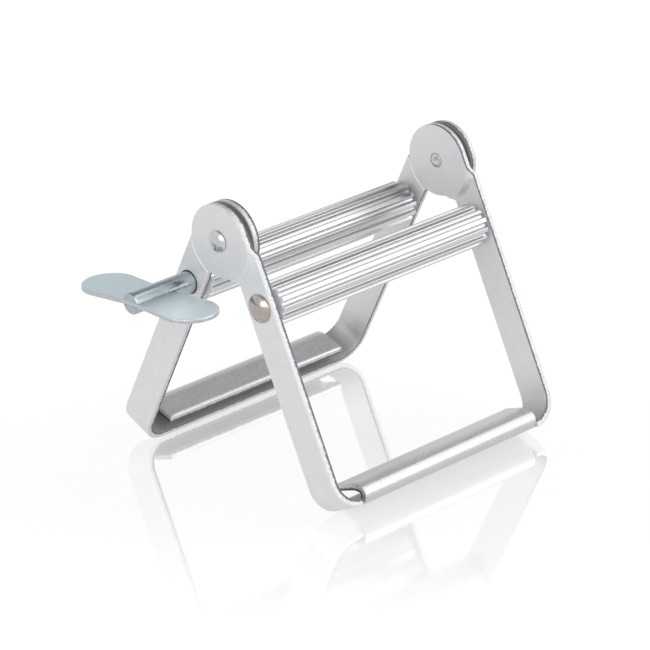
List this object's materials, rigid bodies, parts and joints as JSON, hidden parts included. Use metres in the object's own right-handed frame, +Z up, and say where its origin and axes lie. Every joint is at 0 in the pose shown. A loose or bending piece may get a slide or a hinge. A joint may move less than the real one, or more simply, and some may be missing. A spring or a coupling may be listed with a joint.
{
  "type": "toothpaste tube squeezer",
  "caption": "Metal tube squeezer: two hinged strip frames carry fluted rollers, one of them turned by a wing key.",
  "frame": {"origin": "on the standing surface, under the middle of the whole squeezer", "axes": "+X along the rollers and away from the key, +Y from the front frame to the rear frame with the key's shaft, +Z up"},
  "size_m": [0.0984, 0.076, 0.071],
  "materials": {
    "frame_steel": "nickel-plated strip, satin",
    "rivet_steel": "bright domed rivet",
    "washer_steel": "dark spring steel",
    "roller_aluminium": "extruded, satin",
    "axle_nickel": "warm nickel plate, satin",
    "zinc_plate": "bright zinc plate, slightly blue"
  },
  "bodies": {
    "front_frame": {"front_frame": "frame_steel", "front_axle": "axle_nickel", "left_hinge_rivet": "rivet_steel", "left_hinge_washer": "washer_steel"},
    "rear_frame": {"rear_frame": "frame_steel", "right_hinge_rivet": "rivet_steel", "right_hinge_washer": "washer_steel"},
    "front_roller": {"front_roller": "roller_aluminium"},
    "drive": {"rear_roller": "roller_aluminium", "drive_shaft": "zinc_plate", "wing_key": "zinc_plate"}
  },
  "joints": [
    {"name": "hinge", "type": "hinge", "parent": "front_frame", "child": "rear_frame", "pos_m": [0.0087, 0, 0.06196], "axis": [1, 0, 0], "range_deg": [-46.4, 184]},
    {"name": "front_roller_spin", "type": "hinge", "parent": "front_frame", "child": "front_roller", "pos_m": [0.0087, -0.01196, 0.04807], "axis": [1, 0, 0], "continuous": true},
    {"name": "drive_spin", "type": "hinge", "parent": "rear_frame", "child": "drive", "pos_m": [0.0087, 0.01196, 0.04807], "axis": [1, 0, 0], "continuous": true}
  ]
}
